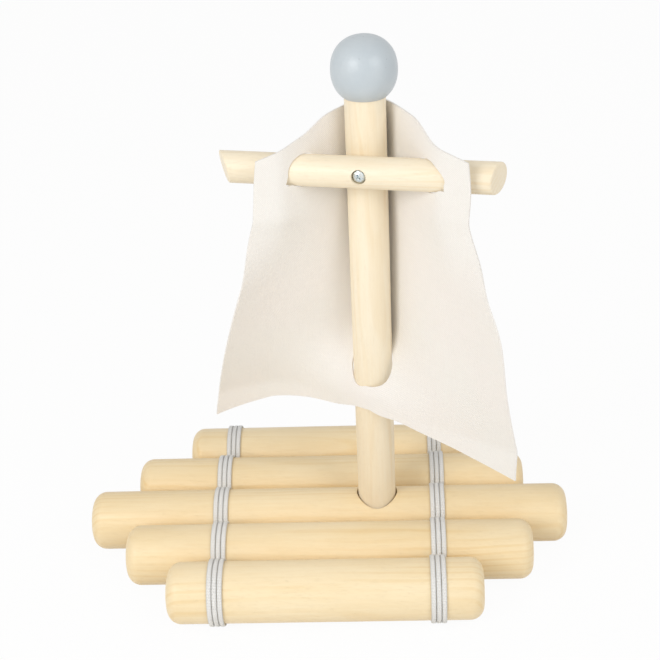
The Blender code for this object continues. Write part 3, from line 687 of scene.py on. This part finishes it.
def build_screw():
    seat = YARD_DEPTH + YARD_RADIUS - RECESS_DEPTH + GAP
    tip = MAST_RADIUS - SCREW_IN_MAST
    profile = [(tip, 0.1 * MM), (tip + 2.0 * MM, SCREW_SHANK_RADIUS), (seat, SCREW_SHANK_RADIUS)]
    steps = 14
    shoulder = 0.35 * SCREW_HEAD_HEIGHT
    profile += [(seat, SCREW_HEAD_RADIUS - 0.1 * MM), (seat + 0.1 * MM, SCREW_HEAD_RADIUS)]
    for k in range(steps + 1):
        a = pi / 2 * k / steps
        x = seat + shoulder + (SCREW_HEAD_HEIGHT - shoulder) * sin(a)
        profile.append((x, max(SCREW_HEAD_RADIUS * cos(a) ** 0.55, 0.02 * MM)))
    mesh = tube_mesh("yard_screw", turned_rings(profile, 72))
    tools = []
    for quarter in (0, 1):
        bm = bmesh.new()
        bmesh.ops.create_cube(bm, size=1.0)
        for v in bm.verts:
            long, wide = CROSS_FLOOR if v.co.x < 0 else CROSS_TOP
            v.co.x *= CROSS_DEPTH
            v.co.y *= long
            v.co.z *= wide
        wedge = bpy.data.meshes.new("wedge")
        bm.to_mesh(wedge)
        bm.free()
        spin = Matrix.Rotation(CROSS_ANGLE + quarter * pi / 2, 4, "X")
        tools.append((wedge, screw_place() @ Matrix.Translation((seat + SCREW_HEAD_HEIGHT, 0, 0)) @ spin))
    mesh = cut(mesh, screw_place(), tools)
    new_object("look_yard_screw", mesh, zinc(), "mast", screw_place(), "yard_screw")


# ---- sail ---------------------------------------------------------------------------------
# s runs across the flat cloth from its middle, and t up it from its foot.

def sail_angle(s, t):
    """Slope of the cloth's cross-section at (s, t), seen from above; 0 lies along the yard."""
    a = np.abs(s)
    high = np.clip((t - SAIL_BEND_START) / (SAIL_BEND_REACH - SAIL_BEND_START), 0.0, 1.0)
    strap = smooth_step((a - STRAP_FROM_MIDDLE) / SAIL_STRAP_TURN) * smooth_step(3 * high - 2)
    shape = smooth_step(a / SAIL_MAST_TURN) * (1 - (1 - SAIL_STRAP_SHARE) * strap)
    foot = np.where(s < 0, SAIL_BEND_FOOT_LEFT, SAIL_BEND_FOOT_RIGHT)
    bend = SAIL_BEND_HEAD * high * shape + foot * (1 - high) * a / SAIL_HALF_FOOT
    lean = SAIL_LEAN_FOOT + (SAIL_LEAN_HEAD - SAIL_LEAN_FOOT) * np.clip(t / SAIL_BEND_REACH, -0.1, 1.0)
    return lean - np.sign(s) * bend


def sail_section(s, t, steps=40):
    """Where the cloth point (s, t) lies across the mast (u) and behind it (v)."""
    s = s + SAIL_SLIDE * np.sin(0.8 * pi * np.clip(t / SAIL_TO_YARD, 0.0, 1.0))
    part = (np.arange(steps) + 0.5) / steps
    angle = sail_angle(s[..., None] * part, t[..., None])
    u = np.cos(angle).mean(-1) * s
    v = np.sin(angle).mean(-1) * s
    step = smooth_step((t - MAST_HOLE_ABOVE_FOOT + MAST_STEP) / (2 * MAST_STEP))
    near = SAIL_BEHIND_MAST * (2 * step - 1)
    foot = np.where(s < 0, SAIL_FOOT_DEPTH_LEFT, SAIL_FOOT_DEPTH_RIGHT)
    far = foot + (SAIL_BEHIND_MAST - foot) * smooth_step(t / SAIL_BEND_REACH)
    return u, v + far + (near - far) * np.exp(-(s / SAIL_TENT_WIDTH) ** 2)


def sail_points(s, t, steps=36):
    """Cloth points in the mast's frame: the cloth keeps its length as it leans in or out."""
    part = (np.arange(steps) + 0.5) / steps
    way = SAIL_TO_YARD + (t[..., None] - SAIL_TO_YARD) * part
    across = np.broadcast_to(s[..., None], way.shape)
    e = 0.25 * MM
    u1, v1 = sail_section(across, way + e)
    u0, v0 = sail_section(across, way - e)
    upright = 1 - ((u1 - u0) / (2 * e)) ** 2 - ((v1 - v0) / (2 * e)) ** 2
    rise = np.sqrt(np.clip(upright, 0.05, 1.0)).mean(-1) * (t - SAIL_TO_YARD)
    u, v = sail_section(s, t)
    return np.stack([u, v, YARD_Z + SAIL_ROLL * s + rise], -1)


def sail_half_width(t):
    height = SAIL_TO_YARD + SAIL_SHOULDER_RISE + SAIL_FOOT_DROP
    share = np.clip((t + SAIL_FOOT_DROP) / height, 0.0, 1.0)
    return SAIL_HALF_FOOT + (SAIL_HALF_HEAD - SAIL_HALF_FOOT) * share


def sail_right_swell(t):
    """How far the right edge stands out of the straight line between its corners."""
    return sum(most * np.exp(-((t - height) / reach) ** 2) for most, height, reach in SAIL_SWELLS)


def sail_head(s):
    """Upper edge of the flat cloth: a rounded crown between two shoulders."""
    a = np.abs(s - SAIL_CROWN_SHIFT)
    crown = SAIL_CROWN_RISE - SAIL_CROWN_FALL * (a / SAIL_CROWN_HALF) ** 2
    shoulder = SAIL_SHOULDER_RISE + SAIL_SHOULDER_SLOPE * (SAIL_HALF_HEAD - np.abs(s))
    share = smooth_step((a - SAIL_CROWN_HALF + 2 * MM) / SAIL_CROWN_BLEND)
    return SAIL_TO_YARD + crown * (1 - share) + shoulder * share


def sail_foot(s):
    """Lower edge of the flat cloth: a shallow arch between pointed corners, with a dip below the mast."""
    a = np.clip(np.abs(s) / SAIL_HALF_FOOT, 0.0, 1.0)
    dip = SAIL_FOOT_DIP * np.exp(-((s - SAIL_DIP_PLACE) / SAIL_DIP_WIDTH) ** 2)
    return SAIL_FOOT_RISE * (1 - a) ** 2 - SAIL_FOOT_DROP * a ** 4 - dip


def snug_rim(s0, t0, free, shape):
    """A hole round (s0, t0): its rim clears the rod that free measures to, and holds the shape."""
    angles = np.arange(RIM_POINTS) * 2 * pi / RIM_POINTS
    c, s = np.cos(angles), np.sin(angles)
    near, far = np.zeros(RIM_POINTS), np.full(RIM_POINTS, RIM_SEARCH)
    for _ in range(RIM_HALVINGS):
        reach = (near + far) / 2
        clear = free(sail_points(s0 + reach * c, t0 + reach * s)) > 0
        near, far = np.where(clear, near, reach), np.where(clear, reach, far)
    reach = np.maximum(far, shape(c, s))
    return np.stack([s0 + reach * c, t0 + reach * s], -1)


def off_mast(p):
    return np.hypot(p[:, 0], p[:, 1]) - MAST_RADIUS - MAST_RIM


def off_yard(p):
    return np.hypot(p[:, 1] + YARD_DEPTH, p[:, 2] - YARD_Z) - YARD_RADIUS - YARD_RIM


def mast_hole_shape(c, s):
    return 1 / np.hypot(c / MAST_HOLE_HALF[0], s / MAST_HOLE_HALF[1])


def yard_hole_shape(c, s, way):
    """Reach of the low outer corner that the cloth in front of the yard leaves open."""
    out, low_out, low = YARD_HOLE_CORNERS[way]
    slant = np.maximum(c * way - (low_out - out) * s / low, 1e-6)
    corner = np.minimum(out / slant, low / np.minimum(s, -1e-6))
    return np.where((c * way > 0) & (s < 0), corner, 0.0)


def inside(points, loop):
    """Even-odd test of many points against one closed outline."""
    x, y = points[:, 0], points[:, 1]
    result = np.zeros(len(points), bool)
    for (x0, y0), (x1, y1) in zip(loop, np.roll(loop, -1, axis=0)):
        crosses = (y0 > y) != (y1 > y)
        if crosses.any():
            at = x0 + (y - y0) * (x1 - x0) / (y1 - y0 if y1 != y0 else 1.0)
            result ^= crosses & (x < at)
    return result


def sail_pattern(grid):
    """The flat cloth as points and triangles: its outline, its three holes and a grid between them."""
    edge = round(2 * SAIL_HALF_FOOT / grid)
    side = round((SAIL_TO_YARD + SAIL_SHOULDER_RISE) / grid)
    across = np.linspace(-1.0, 1.0, edge + 1)
    up = np.linspace(0.0, 1.0, side + 1)[1:-1]
    low, high = -SAIL_FOOT_DROP, SAIL_TO_YARD + SAIL_SHOULDER_RISE
    side_t = low + (high - low) * up
    foot = np.stack([across * SAIL_HALF_FOOT, sail_foot(across * SAIL_HALF_FOOT)], -1)
    right = np.stack([sail_half_width(side_t) + sail_right_swell(side_t), side_t], -1)
    head = np.stack([across[::-1] * SAIL_HALF_HEAD, sail_head(across[::-1] * SAIL_HALF_HEAD)], -1)
    left = np.stack([-sail_half_width(side_t[::-1]), side_t[::-1]], -1)
    outline = np.concatenate([foot, right, head, left])

    probe = np.linspace(0.0, SAIL_HALF_HEAD, 300)
    holes = [snug_rim(*MAST_HOLE, off_mast, mast_hole_shape)]
    for way in (-1, 1):
        level = sail_points(way * probe, np.full_like(probe, SAIL_TO_YARD))
        crossing = way * probe[np.abs(level[:, 1] + YARD_DEPTH).argmin()]
        holes.append(snug_rim(crossing, SAIL_TO_YARD, off_yard, lambda c, s: yard_hole_shape(c, s, way)))

    s, t = np.meshgrid(np.arange(-SAIL_HALF_FOOT, SAIL_HALF_FOOT, grid),
                       np.arange(low, SAIL_TO_YARD + SAIL_CROWN_RISE, grid))
    inner = np.stack([s.ravel(), t.ravel()], -1)
    keep = inside(inner, outline)
    for loop in holes:
        keep &= ~inside(inner, loop)
    rims = np.concatenate([outline, *holes])
    near = np.array([np.hypot(*(rims - p).T).min() for p in inner])
    points = np.concatenate([rims, inner[keep & (near > 0.55 * grid)]])
    edges, start = [], 0
    for loop in (outline, *holes):
        edges += [(start + k, start + (k + 1) % len(loop)) for k in range(len(loop))]
        start += len(loop)
    verts, _, faces, *_ = delaunay_2d_cdt([Vector(p) for p in points], edges, [], 0, 1e-7)
    flat = np.array([tuple(v) for v in verts])
    faces = np.array([tuple(f) for f in faces])
    middles = flat[faces].mean(axis=1)
    keep = inside(middles, outline)
    for loop in holes:
        keep &= ~inside(middles, loop)
    return flat, faces[keep]


def build_sail():
    flat, faces = sail_pattern(SAIL_GRID)
    s, t = flat[:, 0], flat[:, 1]
    e = 0.2 * MM
    along_s = sail_points(s + e, t) - sail_points(s - e, t)
    along_t = sail_points(s, t + e) - sail_points(s, t - e)
    normal = np.cross(along_s, along_t)
    normal /= np.linalg.norm(normal, axis=1)[:, None]
    middle = sail_points(s, t)
    count = len(flat)
    triangles = faces.tolist()
    seen = {(a, b) for tri in triangles for a, b in zip(tri, tri[1:] + tri[:1])}
    border = [(a, b) for a, b in seen if (b, a) not in seen]
    shell = triangles + [[c + count, b + count, a + count] for a, b, c in triangles]
    shell += [[b, a, a + count, b + count] for a, b in sorted(border)]
    verts = np.concatenate([middle + normal * SAIL_THICKNESS / 2, middle - normal * SAIL_THICKNESS / 2])
    mesh = bpy.data.meshes.new("sail")
    mesh.from_pydata(verts.tolist(), [], shell)
    layer = mesh.uv_layers.new(name="flat")
    loops = np.array([v for face in shell for v in face]) % count
    layer.data.foreach_set("uv", (flat[loops] / MM).ravel())
    clean(mesh, 50.0)
    sail = new_object("look_sail", mesh, cloth(), None, MAST_FRAME, "sail")
    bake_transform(sail)


# ---- floor, light and camera --------------------------------------------------------------

FLOOR_HALF = 6.0
FLOOR_BELOW = 0.05 * MM
FLOOR_BRIGHTNESS = 0.95
LAMP_TARGET = Vector((0.0, 0.0, 0.11))


def bright_to_the_eye(g, lit, bright, share):
    """lit for rays that light the object, and mostly bright for those that look at it."""
    path = g.add("ShaderNodeLightPath").outputs
    looks = g.maths("ADD", path["Is Camera Ray"], path["Is Glossy Ray"])
    looks = g.maths("ADD", looks, path["Is Transmission Ray"], clamp=True)
    mix = g.add("ShaderNodeMixShader", {"Fac": g.maths("MULTIPLY", looks, share)})
    g.tree.links.new(lit, mix.inputs[1])
    g.tree.links.new(bright, mix.inputs[2])
    return mix.outputs[0]


def build_stage():
    mesh = bpy.data.meshes.new("floor")
    far = FLOOR_HALF
    mesh.from_pydata([(-far, -far, 0), (far, -far, 0), (far, far, 0), (-far, far, 0)], [], [(0, 1, 2, 3)])
    floor = bpy.data.objects.new("floor", mesh)
    floor.location.z = -FLOOR_BELOW
    bpy.context.scene.collection.objects.link(floor)
    g = Nodes("floor")
    lit = g.add("ShaderNodeBsdfDiffuse", {"Color": (0.90, 0.895, 0.885, 1.0)})
    bright = g.add("ShaderNodeEmission", {"Color": (1.0, 1.0, 1.0, 1.0), "Strength": 1.0})
    output = g.add("ShaderNodeOutputMaterial")
    seen = bright_to_the_eye(g, lit.outputs[0], bright.outputs[0], FLOOR_BRIGHTNESS)
    g.tree.links.new(seen, output.inputs["Surface"])
    mesh.materials.append(g.mat)

    world = bpy.data.worlds.new("studio")
    bpy.context.scene.world = world
    g = Nodes("studio", world)
    lit = g.add("ShaderNodeBackground", {"Color": (1.0, 0.995, 0.985, 1.0), "Strength": 0.55})
    bright = g.add("ShaderNodeBackground", {"Color": (1.0, 1.0, 1.0, 1.0), "Strength": 1.0})
    output = g.add("ShaderNodeOutputWorld")
    g.tree.links.new(bright_to_the_eye(g, lit.outputs[0], bright.outputs[0], 1.0), output.inputs["Surface"])


def build_lamp(name, azimuth, elevation, distance, size, power):
    """A soft square lamp that looks at the middle of the toy. Azimuth 0 is the photograph's side."""
    lamp = bpy.data.lights.new(name, "AREA")
    lamp.size = size
    lamp.energy = power
    obj = bpy.data.objects.new(name, lamp)
    bpy.context.scene.collection.objects.link(obj)
    a, e = radians(azimuth), radians(elevation)
    way = Vector((sin(a) * cos(e), -cos(a) * cos(e), sin(e)))
    obj.location = LAMP_TARGET + way * distance
    obj.rotation_euler = way.to_track_quat("Z", "Y").to_euler()


def build_camera():
    azimuth, elevation, roll = radians(2.734), radians(25.603), radians(-2.579)
    target, distance = Vector((4.77, 0.0, 116.66)) * MM, 658.42 * MM
    back = Vector((sin(azimuth) * cos(elevation), -cos(azimuth) * cos(elevation), sin(elevation)))
    right = back.cross(Vector((0.0, 0.0, -1.0))).normalized()
    up = right.cross(-back)
    x = right * cos(roll) + up * sin(roll)
    y = up * cos(roll) - right * sin(roll)
    camera = bpy.data.cameras.new("camera")
    camera.lens = 78.01
    camera.sensor_width = 36.0
    camera.clip_start = 0.01
    obj = bpy.data.objects.new("camera", camera)
    bpy.context.scene.collection.objects.link(obj)
    turn = Matrix((x, y, back)).transposed().to_4x4()
    obj.matrix_world = Matrix.Translation(target + back * distance) @ turn
    bpy.context.scene.camera = obj


build_camera()
build_logs()
build_lashings()
build_mast()
build_ball()
build_yard()
build_screw()
build_sail()
build_stage()
build_lamp("key", -38.0, 28.0, 0.95, 0.42, 3.6)
build_lamp("fill", 46.0, 28.0, 1.1, 0.6, 2.9)
bpy.context.scene.view_settings.view_transform = "Standard"

bpy.context.view_layer.update()
